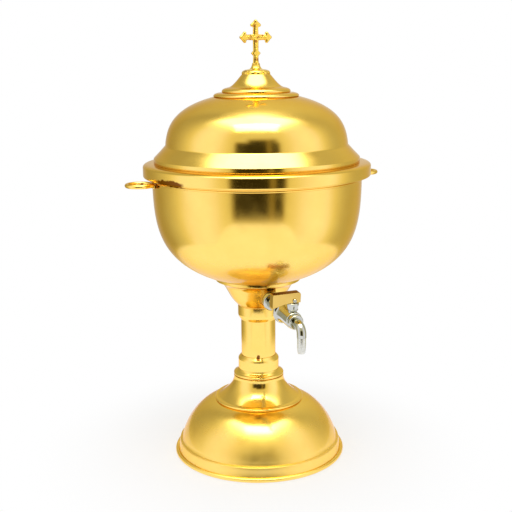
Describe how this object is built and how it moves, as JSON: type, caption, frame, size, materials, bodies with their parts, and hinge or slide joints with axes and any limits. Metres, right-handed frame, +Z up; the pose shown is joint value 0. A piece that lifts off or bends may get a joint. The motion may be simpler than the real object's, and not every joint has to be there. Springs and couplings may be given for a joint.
{
  "type": "holy water font",
  "caption": "Covered brass holy water urn on a stem and round stepped foot, with a lift-off domed lid, standing cross, ring handles and a lever tap on its neck.",
  "frame": {"origin": "centre of the foot on the floor", "axes": "+Z up along the axis of the urn, the ring handles along X, the tap along -Y"},
  "size_m": [0.3666, 0.3076, 0.6],
  "materials": {
    "polished_brass": "polished and lacquered",
    "cast_brass": "cast and brushed up",
    "plain_brass": "turned, unpolished",
    "chrome": "bright plated",
    "steel": "zinc plated",
    "seal_rubber": "moulded",
    "packing": "pressed ring"
  },
  "bodies": {
    "urn": {"foot_band": "polished_brass", "foot_dome": "polished_brass", "foot_cone": "polished_brass", "stem_tube": "polished_brass", "stem_ring": "polished_brass", "stem_coupling": "polished_brass", "stem_collar": "polished_brass", "neck_funnel": "polished_brass", "neck_plug": "plain_brass", "bowl": "polished_brass", "rim_band": "polished_brass", "ring_handle_left": "polished_brass", "ring_handle_right": "polished_brass", "tie_rod": "steel", "tie_washer": "steel", "tie_nut": "steel", "tap_boss": "plain_brass", "tap_seal": "seal_rubber", "tap_lock_ring": "chrome", "tap_body": "chrome", "tap_packing": "packing", "tap_gland": "chrome", "spout_nut": "chrome", "tap_spout": "chrome", "spout_nozzle": "chrome"},
    "lid": {"lid_dome": "polished_brass", "lid_hoop": "polished_brass", "finial_cap": "polished_brass", "cross": "cast_brass", "cross_stud": "steel", "lid_washer": "steel", "lid_nut": "steel"},
    "lever": {"tap_plug": "plain_brass", "tap_lever": "polished_brass", "tap_lever_screw": "chrome"}
  },
  "joints": [
    {"name": "lid_lift", "type": "slide", "parent": "urn", "child": "lid", "axis": [0, 0, 1], "range_m": [0, 0.25]},
    {"name": "tap_lever_turn", "type": "hinge", "parent": "urn", "child": "lever", "pos_m": [0, -0.11795, 0.2228], "axis": [0, -0.1045, 0.9945], "range_deg": [0, 90]}
  ]
}
